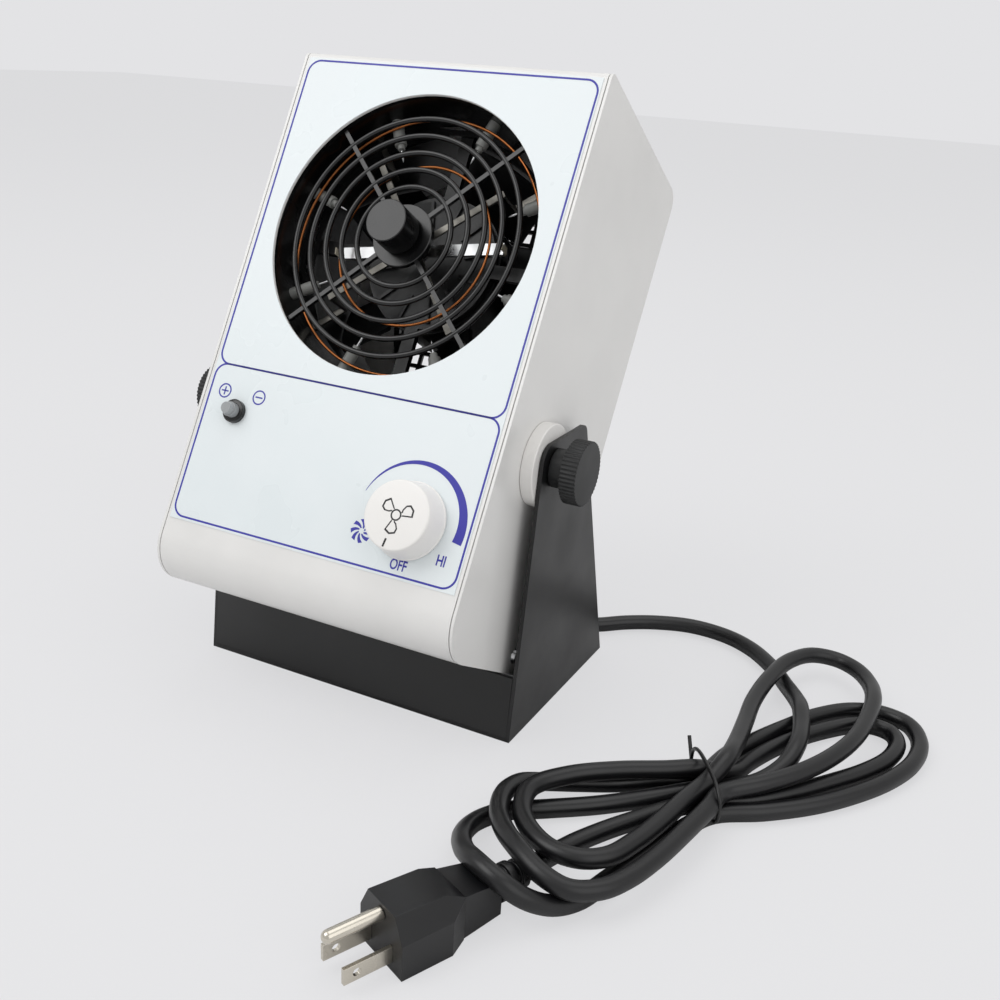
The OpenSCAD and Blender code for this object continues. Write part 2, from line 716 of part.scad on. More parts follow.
module cord_lead() color("#161618") swept_tube(lead_route, cord_d);
module cord_tail() color("#161618") swept_tube(tail_route, cord_d);

tie_at = [166.5, -49.5];
tie_heading = 34.6;
hank_low = 1.5;
hank_high = 13;
waist = 32;

module hank_lobe(places) {
    hull() for (p = places) translate([p[0], p[1]]) circle(p[2], $fn = 32);
}

// The wound cord as one closed outline: a bow of two lobes and the standing loop
module cord_hank() color("#161618") translate([0, 0, hank_low]) linear_extrude(hank_high - hank_low) {
    hank_lobe([[114, -88, 12], [150, -112, 12], [166, -49.5, waist / 2]]);
    hank_lobe([[166, -49.5, waist / 2], [228, 34, 14], [208, -18, 14]]);
    hank_lobe([[176, -12, 12], [176, 62, 12], [200, 66, 12], [206, 10, 12]]);
}

module cord_tie() color("#101012") translate([tie_at[0], tie_at[1], 0.2]) rotate(tie_heading)
    translate([-1.5, 0, 0]) rotate([90, 0, 90]) linear_extrude(3) difference() {
        translate([-waist / 2 - 1.1, 0]) square([waist + 2.2, hank_high + 1]);
        translate([-waist / 2 - 0.1, 1.1]) square([waist + 0.2, hank_high - 1.1]);
    }

// Places a piece on the plug's axis, +X towards its pins
module at_plug() { translate([plug_at[0], plug_at[1], 0]) rotate(plug_heading) children(); }

module plug_relief() color("#151517") at_plug() translate([0, 0, plug_axis_z]) rotate([0, 90, 0]) {
    cylinder(d1 = cord_d + 1, d2 = 11, h = relief_l);
    for (x = [2, 7, 12]) translate([0, 0, x]) cylinder(d = 10.5 + x / 4, h = 3);
}

module plug_body() color("#151517") at_plug() difference() {
    union() {
        hull() {
            translate([relief_l, -7, 1.5]) cube([1, 14, 14]);
            translate([36, -9, 0.5]) cube([1, 18, 18]);
        }
        hull() {
            translate([33, -9, 0.5]) cube([1, 18, 18]);
            translate([41, 0, 0]) linear_extrude(22) square([1, 16], center = true);
            translate([plug_nose - 1, -12.5, 0]) cube([1, 25, 14]);
            translate([plug_nose - 1, -8, 0]) cube([1, 16, 23]);
            translate([40, -12.5, 0]) cube([1, 25, 14]);
        }
    }
}

module plug_blades() color("silver") at_plug() for (s = [-1, 1]) difference() {
    translate([plug_nose, s * blade_pitch / 2 - blade_size[1] / 2, 4]) cube(blade_size);
    translate([plug_nose + 13, 0, 4 + blade_size[2] / 2]) rotate([90, 0, 0])
        cylinder(d = 3, h = 40, center = true, $fn = 32);
}

module plug_ground_pin() color("silver") at_plug()
    translate([plug_nose, 0, 4 + blade_size[2] / 2 + ground_up]) rotate([0, 90, 0]) {
        cylinder(d = ground_d, h = ground_l - ground_d / 2);
        translate([0, 0, ground_l - ground_d / 2]) sphere(d = ground_d, $fn = 32);
    }

// ---------- assembly ----------

stand_bracket();
front_cover();
rear_shell();
front_overlay();
front_guard();
air_duct();
cleaner_knob();
cleaner_arm();
cleaner_brush();
electrode_cross();
inner_copper_ring();
outer_copper_ring();
needle_holders();
emitter_needles();
fan_frame();
fan_bearings();
fan_stator();
fan_shaft();
rotor_cup();
fan_impeller();
fan_studs();
fan_spacers();
fan_nuts();
rear_guard();
rear_guard_screws();
speed_knob();
pot_shaft();
pot_body();
pot_nut();
lamp_bezel();
lamp_lens();
lamp_nut();
control_board();
board_parts();
board_standoffs();
board_screws();
hv_module();
hv_screws();
side_screws();
pivot_nuts();
left_spacer();
right_spacer();
left_thumb_knob();
right_thumb_knob();
left_clamp_screw();
right_clamp_screw();
cord_bushing();
cord_lead();
cord_hank();
cord_tail();
cord_tie();
plug_relief();
plug_body();
plug_blades();
plug_ground_pin();
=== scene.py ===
# %% [markdown]
# # Desktop ionizing blower
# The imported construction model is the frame: every solid is already in place, in metres. This
# script dresses it. Hard sheet and moulded pieces are copied, merged and given small rounded
# edges. The guard, speed knob, lamp bezel, cord, twist tie and printed marks are modelled anew.

# %% Imports and the frame
import json
import math
import bmesh
import bpy
from mathutils import Matrix, Vector


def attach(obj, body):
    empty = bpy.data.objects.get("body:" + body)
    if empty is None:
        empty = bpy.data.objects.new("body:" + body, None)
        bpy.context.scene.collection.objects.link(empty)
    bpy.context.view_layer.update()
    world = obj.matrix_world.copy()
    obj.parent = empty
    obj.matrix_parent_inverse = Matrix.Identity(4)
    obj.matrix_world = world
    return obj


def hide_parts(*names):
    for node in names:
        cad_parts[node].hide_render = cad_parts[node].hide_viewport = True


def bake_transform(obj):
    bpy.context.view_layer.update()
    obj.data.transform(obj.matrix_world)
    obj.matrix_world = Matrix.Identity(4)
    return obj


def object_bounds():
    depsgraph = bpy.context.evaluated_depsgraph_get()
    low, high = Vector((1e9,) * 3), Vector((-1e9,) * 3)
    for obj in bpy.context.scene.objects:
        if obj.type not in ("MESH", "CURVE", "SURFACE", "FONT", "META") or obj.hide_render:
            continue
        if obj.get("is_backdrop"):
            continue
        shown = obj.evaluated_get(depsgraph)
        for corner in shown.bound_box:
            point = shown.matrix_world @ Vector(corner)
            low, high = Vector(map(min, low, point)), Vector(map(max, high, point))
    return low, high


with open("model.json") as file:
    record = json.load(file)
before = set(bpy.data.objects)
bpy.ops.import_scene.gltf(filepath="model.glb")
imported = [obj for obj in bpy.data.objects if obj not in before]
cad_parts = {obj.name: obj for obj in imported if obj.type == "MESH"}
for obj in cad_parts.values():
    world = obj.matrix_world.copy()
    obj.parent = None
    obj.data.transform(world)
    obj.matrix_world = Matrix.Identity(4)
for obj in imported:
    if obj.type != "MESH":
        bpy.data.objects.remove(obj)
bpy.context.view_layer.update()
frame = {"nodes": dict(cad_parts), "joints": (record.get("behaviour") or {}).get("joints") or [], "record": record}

MM = 0.001

# %% [markdown]
# The housing leans back about the tilt joint. Its own directions (x right, y rearwards, z up along
# the panel) are found from the joints, so a size is given where it is on the housing, and one
# matrix puts it in the world. `on_panel` is the place of a mark or knob on the front: its Z axis
# points out of the panel.

# %% Places on the leaning housing
joints = {joint["name"]: joint for joint in frame["joints"]}
PIVOT = Vector(joints["tilt"]["pos_m"])
fan_axis = Vector(joints["fan_spin"]["axis"])
LEAN = math.asin(fan_axis.z)
HOUSING = Matrix.Translation(PIVOT) @ Matrix.Rotation(-LEAN, 4, "X")
IN_HOUSING = HOUSING.inverted()
opening = IN_HOUSING @ Vector(joints["fan_spin"]["pos_m"])
FRONT_Y = opening.y
OPEN_UP = opening.z


def on_panel(x, up, out=0.0):
    place = Matrix.Translation((x, FRONT_Y - out, up))
    return HOUSING @ place @ Matrix.Rotation(math.radians(90), 4, "X")


print("lean", round(math.degrees(LEAN), 2), "opening up", round(OPEN_UP, 4))

# %% [markdown]
# ## Camera
# The picture is taken from the right of the front and from above, with a normal lens. The camera
# is built from its place, its two angles and a slight roll.

# %% Camera
CAMERA_PLACE = Vector((0.2526, -0.4261, 0.2696))
AZIMUTH = math.radians(25.37)
ELEVATION = math.radians(24.05)
ROLL = math.radians(3.66)
camera_data = bpy.data.cameras.new("camera")
camera_data.lens = 40.82
camera_data.sensor_width = 36
camera_data.shift_x = -0.0085
camera_data.shift_y = 0.0612
camera_data.clip_start = 0.01
camera = bpy.data.objects.new("camera", camera_data)
bpy.context.scene.collection.objects.link(camera)
back = Vector((math.sin(AZIMUTH) * math.cos(ELEVATION),
               -math.cos(AZIMUTH) * math.cos(ELEVATION),
               math.sin(ELEVATION)))
level = Vector((math.cos(AZIMUTH), math.sin(AZIMUTH), 0))
upright = back.cross(level)
right = math.cos(ROLL) * level + math.sin(ROLL) * upright
up = math.cos(ROLL) * upright - math.sin(ROLL) * level
turn = Matrix((right, up, back)).transposed().to_4x4()
camera.matrix_world = Matrix.Translation(CAMERA_PLACE) @ turn
bpy.context.scene.camera = camera
print("camera at", [round(v, 3) for v in CAMERA_PLACE])

# %% [markdown]
# ## Helpers
# A piece is a bmesh that is written to a named object at the origin. `lathe` spins a profile of
# (radius, height) points about Z, which makes knobs, discs and rings.

# %% Making a piece from a bmesh
def finish_piece(name, mesh_edit, body, place=None, smooth=35):
    if place is not None:
        mesh_edit.transform(place)
    mesh = bpy.data.meshes.new(name)
    mesh_edit.to_mesh(mesh)
    mesh_edit.free()
    piece = bpy.data.objects.new(name, mesh)
    bpy.context.scene.collection.objects.link(piece)
    mesh.polygons.foreach_set("use_smooth", [True] * len(mesh.polygons))
    mesh.set_sharp_from_angle(angle=math.radians(smooth))
    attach(piece, body)
    return piece


# %% Turned shapes
def lathe(edit, profile, steps=96):
    corners = [edit.verts.new((radius, 0, height)) for radius, height in profile]
    edges = [edit.edges.new(pair) for pair in zip(corners, corners[1:])]
    bmesh.ops.spin(edit, geom=corners + edges, cent=(0, 0, 0), axis=(0, 0, 1),
                   angle=math.tau, steps=steps, use_merge=True)
    bmesh.ops.remove_doubles(edit, verts=edit.verts, dist=1e-7)
    bmesh.ops.recalc_face_normals(edit, faces=edit.faces)


def rounded(points, radius, steps=4):
    """A profile whose inner corners are rounded by short arcs."""
    path = [Vector(points[0])]
    for before, corner, after in zip(points, points[1:], points[2:]):
        before, corner, after = Vector(before), Vector(corner), Vector(after)
        reach = min(radius, (before - corner).length * 0.49, (after - corner).length * 0.49)
        start = corner + (before - corner).normalized() * reach
        end = corner + (after - corner).normalized() * reach
        for i in range(steps + 1):
            t = i / steps
            path.append(start * (1 - t) ** 2 + corner * 2 * t * (1 - t) + end * t ** 2)
    path.append(Vector(points[-1]))
    return [(point.x, point.y) for point in path]


def turned(name, points, body, place, edge=0.4 * MM, steps=96):
    edit = bmesh.new()
    lathe(edit, rounded(points, edge), steps)
    return finish_piece(name, edit, body, place)


# %% [markdown]
# ## Materials
# Each slot of the construction model has one finish, named after the real material. All of them
# are the same recipe, because a moulded, painted or plated surface is read from three things: its
# colour, its gloss, and a relief too fine to model, whose size is given in real millimetres.

# %% Material helpers
PATCH = 0.03  # the size over which gloss and shade drift


def linear(hex_colour):
    channels = [int(hex_colour[i:i + 2], 16) / 255 for i in (1, 3, 5)]
    return [c / 12.92 if c <= 0.04045 else ((c + 0.055) / 1.055) ** 2.4
            for c in channels] + [1.0]


def add_node(tree, kind, settings=None, **links):
    node = tree.nodes.new(kind)
    for key, value in (settings or {}).items():
        if isinstance(key, str) and hasattr(node, key):
            setattr(node, key, value)
        else:
            node.inputs[key].default_value = value
    for key, socket in links.items():
        tree.links.new(socket, node.inputs[key.replace("_", " ")])
    return node


def start_material(name, colour, roughness, metallic=0.0, **extra):
    material = bpy.data.materials.new(name)
    material.use_nodes = True
    tree = material.node_tree
    shader = tree.nodes["Principled BSDF"]
    shader.inputs["Base Color"].default_value = linear(colour)
    shader.inputs["Roughness"].default_value = roughness
    shader.inputs["Metallic"].default_value = metallic
    for key, value in extra.items():
        shader.inputs[key.replace("_", " ")].default_value = value
    return material, tree, shader


def grain(tree, shader, size, height, gloss, shades):
    """Fine relief of one real size, with a small change of gloss, and perhaps shade, over it."""
    place = add_node(tree, "ShaderNodeTexCoord").outputs["Object"]
    noise = add_node(tree, "ShaderNodeTexNoise", {"Scale": 1 / size, "Detail": 2.0}, Vector=place)
    bump = add_node(tree, "ShaderNodeBump", {"Strength": 1.0, "Distance": height},
                    Height=noise.outputs["Fac"])
    tree.links.new(bump.outputs["Normal"], shader.inputs["Normal"])
    wide = add_node(tree, "ShaderNodeTexNoise", {"Scale": 1 / PATCH, "Detail": 3.0},
                    Vector=place).outputs["Fac"]
    spread = add_node(tree, "ShaderNodeMapRange", {"From Min": 0.3, "From Max": 0.7,
                                                   "To Min": gloss[0], "To Max": gloss[1]},
                      Value=wide)
    tree.links.new(spread.outputs["Result"], shader.inputs["Roughness"])
    if shades:
        ramp = add_node(tree, "ShaderNodeValToRGB", Fac=wide)
        for stop, place_on_ramp, shade in zip(ramp.color_ramp.elements, (0.35, 0.65), shades):
            stop.position = place_on_ramp
            stop.color = linear(shade)
        tree.links.new(ramp.outputs["Color"], shader.inputs["Base Color"])


# %% Finishes
GLOSS_SPREAD = 0.06


def plain_finish(name, colour, roughness, size, height, metallic=0.0, shades=None, **extra):
    material, tree, shader = start_material(name, colour, roughness, metallic, **extra)
    gloss = (max(roughness - GLOSS_SPREAD, 0.02), roughness + GLOSS_SPREAD)
    grain(tree, shader, size, height, gloss, shades)
    return material


FINISHES = {
    # stoved white paint on steel: a soft gloss with a faint orange-peel relief
    "white_paint": plain_finish("stoved white paint", "#dfdedc", 0.34, 1.6 * MM, 0.012 * MM,
                                shades=("#dddcda", "#e1e0de"), Coat_Weight=0.25, Coat_Roughness=0.12),
    # printed polycarbonate: cooler and more even than the paint
    "overlay_film": plain_finish("printed polycarbonate", "#dde4e6", 0.3, 0.5 * MM, 0.004 * MM,
                                 shades=("#dce3e5", "#dfe5e7")),
    "black_steel": plain_finish("black powder-coated steel", "#0c0c0d", 0.4, 0.45 * MM, 0.015 * MM,
                                shades=("#0b0b0c", "#0e0e0f")),
    "black_plastic": plain_finish("moulded black ABS", "#0d0e0f", 0.38, 0.4 * MM, 0.008 * MM),
    "black_gloss": plain_finish("polished black ABS", "#0a0a0b", 0.25, 0.6 * MM, 0.004 * MM),
    "plated_steel": plain_finish("zinc-plated steel", "#c4c5c6", 0.3, 0.5 * MM, 0.004 * MM, metallic=1.0),
    "nickel": plain_finish("nickel-plated brass", "#cfc9bd", 0.24, 0.8 * MM, 0.003 * MM, metallic=1.0),
    "copper": plain_finish("bare copper wire", "#a9683c", 0.35, 0.5 * MM, 0.004 * MM, metallic=1.0),
    "grey_nylon": plain_finish("grey nylon", "#8e8f8c", 0.45, 0.4 * MM, 0.006 * MM),
    "fan_aluminium": plain_finish("black-painted die casting", "#0f1011", 0.4, 0.7 * MM, 0.02 * MM),
    "brush_fibre": plain_finish("nylon bristle", "#cfc8b4", 0.6, 0.3 * MM, 0.05 * MM),
    "white_plastic": plain_finish("moulded white ABS", "#e9e7e4", 0.36, 0.5 * MM, 0.006 * MM,
                                  shades=("#e8e6e3", "#ebe9e6")),
    "component_plastic": plain_finish("component moulding", "#3b4c63", 0.5, 0.4 * MM, 0.01 * MM),
    "lamp_plastic": plain_finish("smoky lens plastic", "#b9bcbe", 0.12, 1.0 * MM, 0.002 * MM,
                                 Transmission_Weight=0.35),
    "board_laminate": plain_finish("green circuit laminate", "#1f5a33", 0.35, 0.8 * MM, 0.01 * MM),
    "potting": plain_finish("potting resin", "#1d1d20", 0.3, 1.5 * MM, 0.02 * MM),
    "knob_plastic": plain_finish("moulded dark grey nylon", "#141516", 0.5, 0.35 * MM, 0.01 * MM),
    "cord_pvc": plain_finish("black flexible vinyl", "#0e0e10", 0.36, 0.5 * MM, 0.006 * MM),
    "tie_plastic": plain_finish("coated twist tie", "#0c0c0d", 0.35, 0.4 * MM, 0.006 * MM),
}
INK = plain_finish("indigo screen ink", "#2f2d9c", 0.45, 0.3 * MM, 0.003 * MM)
BLACK_INK = plain_finish("black pad print", "#1b1b1d", 0.5, 0.3 * MM, 0.003 * MM)


def paint(piece, material):
    piece.data.materials.clear()
    piece.data.materials.append(material)


slot_of = {part["node"]: part["material_slot"] for part in frame["record"]["subparts"]}
for name, node in frame["nodes"].items():
    paint(node, FINISHES[slot_of[name]])
print(len(FINISHES), "finishes on", len(frame["nodes"]), "nodes")

# %% [markdown]
# ## Power cord
# A black mains cord leaves the strain relief behind the housing, lies on the table in a curve and
# is folded back and forth through a twist tie. The route is a list of places; a
# smooth curve is drawn through them and a ring of points is carried along it.

# %% The cord's route
CORD_DIAMETER = 7.6 * MM
ROUTE = [
    (0.058, 0.0358, 0.01605), (0.058, 0.042, 0.0126), (0.0585, 0.048, 0.0094), (0.061, 0.054, 0.007),
    (0.066, 0.06, 0.0052), (0.073, 0.066, 0.0044), (0.084, 0.077, 0.004), (0.098, 0.086, 0.004),
    (0.115, 0.092, 0.004), (0.134, 0.091, 0.004), (0.149, 0.084, 0.004), (0.163, 0.071, 0.004),
    (0.173, 0.056, 0.005), (0.181, 0.04, 0.0086), (0.186, 0.027, 0.0116), (0.19, 0.012, 0.0117),
    (0.192, -0.004, 0.0115), (0.19, -0.018, 0.0084), (0.182, -0.031, 0.005), (0.164, -0.045, 0.0038),
    (0.15, -0.0595, 0.0038), (0.133, -0.076, 0.0038), (0.115, -0.09, 0.0038), (0.103, -0.099, 0.0038),
    (0.097, -0.11, 0.0044), (0.098, -0.124, 0.008), (0.107, -0.14, 0.015), (0.116, -0.148, 0.019),
    (0.126, -0.1515, 0.018), (0.135, -0.149, 0.0125), (0.142, -0.141, 0.0066), (0.148, -0.13, 0.0038),
    (0.153, -0.114, 0.0038), (0.159, -0.095, 0.0038), (0.166, -0.074, 0.0038),
    (0.1735, -0.0585, 0.0038), (0.19, -0.0465, 0.0038), (0.206, -0.032, 0.0038),
    (0.219, -0.016, 0.0038), (0.23, 0.002, 0.0038), (0.237, 0.022, 0.0038), (0.237, 0.04, 0.0038),
    (0.23, 0.053, 0.0038), (0.217, 0.0565, 0.0038), (0.204, 0.051, 0.0038), (0.192, 0.038, 0.0038),
    (0.183, 0.022, 0.0038), (0.174, 0.004, 0.0038), (0.166, -0.015, 0.0038), (0.16, -0.038, 0.0038),
    (0.146, -0.0485, 0.0038), (0.133, -0.059, 0.0038), (0.12, -0.067, 0.004), (0.109, -0.075, 0.0052),
    (0.103, -0.086, 0.0094), (0.102, -0.099, 0.0122), (0.106, -0.1115, 0.013), (0.114, -0.123, 0.0154),
    (0.124, -0.132, 0.017), (0.135, -0.138, 0.0156), (0.146, -0.138, 0.013), (0.155, -0.131, 0.0118),
    (0.161, -0.12, 0.0114), (0.166, -0.104, 0.0114), (0.17, -0.084, 0.0114), (0.173, -0.066, 0.0114),
    (0.1745, -0.054, 0.0114), (0.186, -0.041, 0.0118), (0.197, -0.026, 0.012), (0.206, -0.008, 0.012),
    (0.212, 0.012, 0.012), (0.214, 0.034, 0.0118), (0.213, 0.054, 0.0118), (0.208, 0.071, 0.01),
    (0.2, 0.082, 0.0094), (0.19, 0.086, 0.0098), (0.179, 0.081, 0.0114), (0.171, 0.067, 0.0124),
    (0.167, 0.046, 0.0124), (0.166, 0.022, 0.012), (0.168, 0.001, 0.0124), (0.17, -0.02, 0.0142),
    (0.1705, -0.036, 0.0158), (0.1675, -0.049, 0.012), (0.1635, -0.066, 0.0118), (0.16, -0.085, 0.012),
    (0.156, -0.101, 0.012), (0.151, -0.114, 0.0124), (0.143, -0.121, 0.013), (0.132, -0.122, 0.0134),
    (0.121, -0.116, 0.0134), (0.1125, -0.105, 0.013), (0.11, -0.092, 0.0134), (0.119, -0.077, 0.0132),
    (0.134, -0.0625, 0.0124), (0.15, -0.051, 0.0118), (0.161, -0.0425, 0.0114),
    (0.168, -0.0355, 0.0082), (0.1725, -0.027, 0.0048), (0.176, -0.014, 0.0038), (0.182, 0.001, 0.0038),
    (0.19, 0.016, 0.0038), (0.2, 0.03, 0.0038), (0.209, 0.0395, 0.0038), (0.217, 0.043, 0.0038),
    (0.2245, 0.041, 0.0038), (0.2285, 0.033, 0.0038), (0.227, 0.019, 0.0038), (0.22, 0.004, 0.0038),
    (0.209, -0.012, 0.0038), (0.197, -0.0275, 0.0038), (0.184, -0.0415, 0.0038),
    (0.169, -0.0515, 0.0038), (0.1585, -0.063, 0.0038), (0.149, -0.077, 0.0038),
    (0.139, -0.093, 0.0038), (0.132, -0.107, 0.0038), (0.129, -0.118, 0.0052), (0.127, -0.131, 0.0085),
]


def through(points, per_span=6):
    """A centripetal curve through the points, for even loops where they lie close together."""
    points = [Vector(p) for p in points]
    ends = [2 * points[0] - points[1]] + points + [2 * points[-1] - points[-2]]
    line = []
    for a, b, c, d in zip(ends, ends[1:], ends[2:], ends[3:]):
        before, here, after = (math.sqrt(max((q - p).length, 1e-9))
                               for p, q in ((a, b), (b, c), (c, d)))
        leave = (c - b) + here * ((b - a) / before - (c - a) / (before + here))
        arrive = (c - b) + here * ((d - c) / after - (d - b) / (here + after))
        for i in range(per_span):
            t = i / per_span
            line.append((2 * t**3 - 3 * t**2 + 1) * b + (t**3 - 2 * t**2 + t) * leave
                        + (3 * t**2 - 2 * t**3) * c + (t**3 - t**2) * arrive)
    line.append(points[-1])
    for point in line:
        point.z = max(point.z, CORD_DIAMETER / 2)
    return line


def carried_tube(line, diameter, sides=16):
    """A closed tube whose ring is carried along the line without twisting."""
    edit = bmesh.new()
    side = (line[1] - line[0]).cross(Vector((0, 0, 1))).normalized()
    last = None
    for i, point in enumerate(line):
        ahead = (line[min(i + 1, len(line) - 1)] - line[max(i - 1, 0)]).normalized()
        side = (side - ahead * side.dot(ahead)).normalized()
        over = ahead.cross(side)
        ring = [edit.verts.new(point + diameter / 2 * (math.cos(k * math.tau / sides) * side
                                                       + math.sin(k * math.tau / sides) * over))
                for k in range(sides)]
        if last:
            for k in range(sides):
                edit.faces.new((last[k], last[(k + 1) % sides], ring[(k + 1) % sides], ring[k]))
        else:
            edit.faces.new(ring)
        last = ring
    edit.faces.new(last)
    bmesh.ops.recalc_face_normals(edit, faces=edit.faces)
    return edit


# %% The cord
cord_line = through(ROUTE)
cord_tube = carried_tube(cord_line, CORD_DIAMETER)
cord = finish_piece("power_cord", cord_tube, "stand", smooth=80)
paint(cord, FINISHES["cord_pvc"])
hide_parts("cord_lead", "cord_hank", "cord_tail")

# %% [markdown]
# The cord crosses the tilt joint, but it is one rigid piece: it is first hung on the stand, then
# loosed from it with its place baked into the mesh, so it does not bend when the housing tilts.

# %% Plug, twist tie and the cord baked in place
FLAT = 0.02
SHARP = math.radians(30)


def dressed(node, width, segments=3):
    """A copy of a construction solid, merged, with small rounded edges, in place of its node."""
    edit = bmesh.new()
    edit.from_mesh(frame["nodes"][node].data)
    bmesh.ops.remove_doubles(edit, verts=edit.verts, dist=2e-6)
    bmesh.ops.dissolve_limit(edit, angle_limit=FLAT, verts=edit.verts, edges=edit.edges)
    piece = finish_piece(node + "_dressed", edit, body_of[node], smooth=40)
    if width:
        bevel = piece.modifiers.new("rounded edges", "BEVEL")
        bevel.width = width
        bevel.segments = segments
        bevel.limit_method = "ANGLE"
        bevel.angle_limit = SHARP
        bevel.harden_normals = True
    paint(piece, FINISHES[slot_of[node]])
    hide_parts(node)
    return piece


bodies = frame["record"]["behaviour"]["bodies"]
body_of = {node: body for body, nodes in bodies.items() for node in nodes}
plug_pieces = [dressed("plug_body", 1.0 * MM, 4), dressed("plug_relief", 0.4 * MM),
               dressed("plug_blades", 0.25 * MM), dressed("plug_ground_pin", 0.3 * MM)]
TIE_AT = Vector((0.1663, -0.0495, 0.0098))
across = Vector((0.57, -0.82, 0)).normalized()
SQUARENESS = 0.7  # below 1 the loop is flatter at its top and sides than an ellipse
TIE_WIDE, TIE_HIGH, TIE_WIRE = 0.0186, 0.0090, 1.6 * MM
loop = [TIE_AT + across * TIE_WIDE * math.copysign(abs(math.cos(a)) ** SQUARENESS, math.cos(a))
        + Vector((0, 0, TIE_HIGH * math.copysign(abs(math.sin(a)) ** SQUARENESS, math.sin(a))))
        for a in (math.pi + math.tau * i / 48 for i in range(49))]
ends = [loop[0] - across * 0.0012 * i + Vector((0, 0, 0.0014 * i)) for i in range(1, 6)]
tie_wire = carried_tube([*reversed(ends), *loop], TIE_WIRE, 12)
tie = finish_piece("twist_tie", tie_wire, "stand", smooth=60)
paint(tie, FINISHES["tie_plastic"])
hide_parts("cord_tie")
cord.parent = None
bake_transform(cord)
print(len(plug_pieces), "plug pieces and the tie at", [round(v, 3) for v in TIE_AT])

# %% [markdown]
# ## Case and stand
# The case is folded steel with stoved paint and the stand is a thicker black strip. The solids
# have their true outlines but knife edges. A real fold, a deburred edge and a moulded corner are
# slightly round and catch a thin highlight, so each copy gets a bevel of its own width, in
# millimetres. At 0 the piece is only merged, as the thin fan blades are.

# %% Case, stand and the flat pieces
EDGES = {
    "stand_bracket": 0.5, "front_cover": 0.35, "rear_shell": 0.35, "front_overlay": 0.08,
    "air_duct": 0.3, "left_spacer": 0.6, "right_spacer": 0.6, "cord_bushing": 0.4,
    "fan_frame": 0.5, "rear_guard": 0.3, "cleaner_knob": 0.5, "electrode_cross": 0.25,
    "side_screws": 0.2, "left_thumb_knob": 0.3, "right_thumb_knob": 0.3, "rotor_cup": 0.5,
    "needle_holders": 0.2, "control_board": 0.1, "hv_module": 0.5, "pot_body": 0.4,
    "fan_impeller": 0.0, "cleaner_arm": 0.2, "fan_spacers": 0.2,
}
case_pieces = {node: dressed(node, width * MM, 2) for node, width in EDGES.items()}
# The cross gets a much darker nickel than the plating's own colour: painted shade for its place deep in the duct
# behind the guard.
NICKEL_PAINTED_SHADE = plain_finish("nickel plate with painted shade", "#6c6a65", 0.38, 0.8 * MM, 0.004 * MM, metallic=1.0)
paint(case_pieces["electrode_cross"], NICKEL_PAINTED_SHADE)
print(len(EDGES), "pieces dressed")

# %% [markdown]
# ## Front guard
# Five round rings are joined to a cross of square spokes in front of the duct, with a hub disc in
# the middle. Each ring is a circle spun about the fan's axis, so it is round from every side.

# %% Front guard
WIRE = 2.4 * MM
RING_FIRST, RING_STEP = 21.5, 7.5
RINGS = [(RING_FIRST + RING_STEP * i) * MM for i in range(5)]
GUARD_DEPTH = 3.2 * MM
opening_place = on_panel(0, OPEN_UP)
guard = bmesh.new()
for radius in RINGS:
    turns = [k * math.tau / 16 for k in range(17)]
    circle = [(radius + WIRE / 2 * math.cos(a), -GUARD_DEPTH + WIRE / 2 * math.sin(a))
              for a in turns]
    lathe(guard, circle, 160)
SPOKE_IN, SPOKE_OUT, SPOKE_WIDE = 12.4 * MM, 60.4 * MM, 1.8 * MM
for degrees in (45, 135, 225, 315):
    aim = Matrix.Rotation(math.radians(degrees), 4, "Z")
    middle = Matrix.Translation(((SPOKE_IN + SPOKE_OUT) / 2, 0, -GUARD_DEPTH))
    size = Matrix.Diagonal((SPOKE_OUT - SPOKE_IN, SPOKE_WIDE, SPOKE_WIDE, 1))
    bmesh.ops.create_cube(guard, size=1, matrix=aim @ middle @ size)
HUB, HUB_CHAMFER = 13.5 * MM, 0.3 * MM
HUB_BACK = -GUARD_DEPTH - 1.2 * MM
HUB_FACE = -GUARD_DEPTH + 1.3 * MM
lathe(guard, [(0.0, HUB_BACK), (HUB, HUB_BACK), (HUB, HUB_FACE - HUB_CHAMFER),
              (HUB - HUB_CHAMFER, HUB_FACE), (0.0, HUB_FACE)])
guard_piece = finish_piece("front_wire_guard", guard, "housing", opening_place)
paint(guard_piece, FINISHES["black_gloss"])
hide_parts("front_guard")
print("guard rings", [round(r * 1000, 1) for r in RINGS])

# %% [markdown]
# ## Printed marks
# The film is screen printed: two rounded frames that share a line, an arc that widens with speed,
# OFF and HI, an airflow sign, and the plus and minus signs of the ion lamp. Each mark is its own
# thin raised shape a hair above the film, which keeps its edge crisp at any distance.

# %% Printed marks
INK_THICK = 0.06 * MM


def printed(name, edit, place, body="housing", ink=INK):
    bmesh.ops.recalc_face_normals(edit, faces=edit.faces)
    piece = finish_piece(name, edit, body, place)
    paint(piece, ink)
    return piece


def band(edit, outer, inner, closed=True):
    """A flat strip between two matching lines, given a little thickness."""
    rows = [[edit.verts.new((x, y, z)) for x, y in line]
            for z in (0.0, INK_THICK) for line in (outer, inner)]
    count = len(outer) if closed else len(outer) - 1
    for a, b in ((0, 1), (2, 3), (0, 2), (1, 3)):
        for i in range(count):
            j = (i + 1) % len(outer)
            edit.faces.new((rows[a][i], rows[a][j], rows[b][j], rows[b][i]))
    if not closed:
        for i in (0, -1):
            edit.faces.new((rows[0][i], rows[1][i], rows[3][i], rows[2][i]))


def round_rectangle(half, low, high, radius, steps=10):
    corners = [(half - radius, high - radius, 0), (-half + radius, high - radius, 90),
               (-half + radius, low + radius, 180), (half - radius, low + radius, 270)]
    return [(x + radius * math.cos(math.radians(start + 90 * i / steps)),
             y + radius * math.sin(math.radians(start + 90 * i / steps)))
            for x, y, start in corners for i in range(steps + 1)]


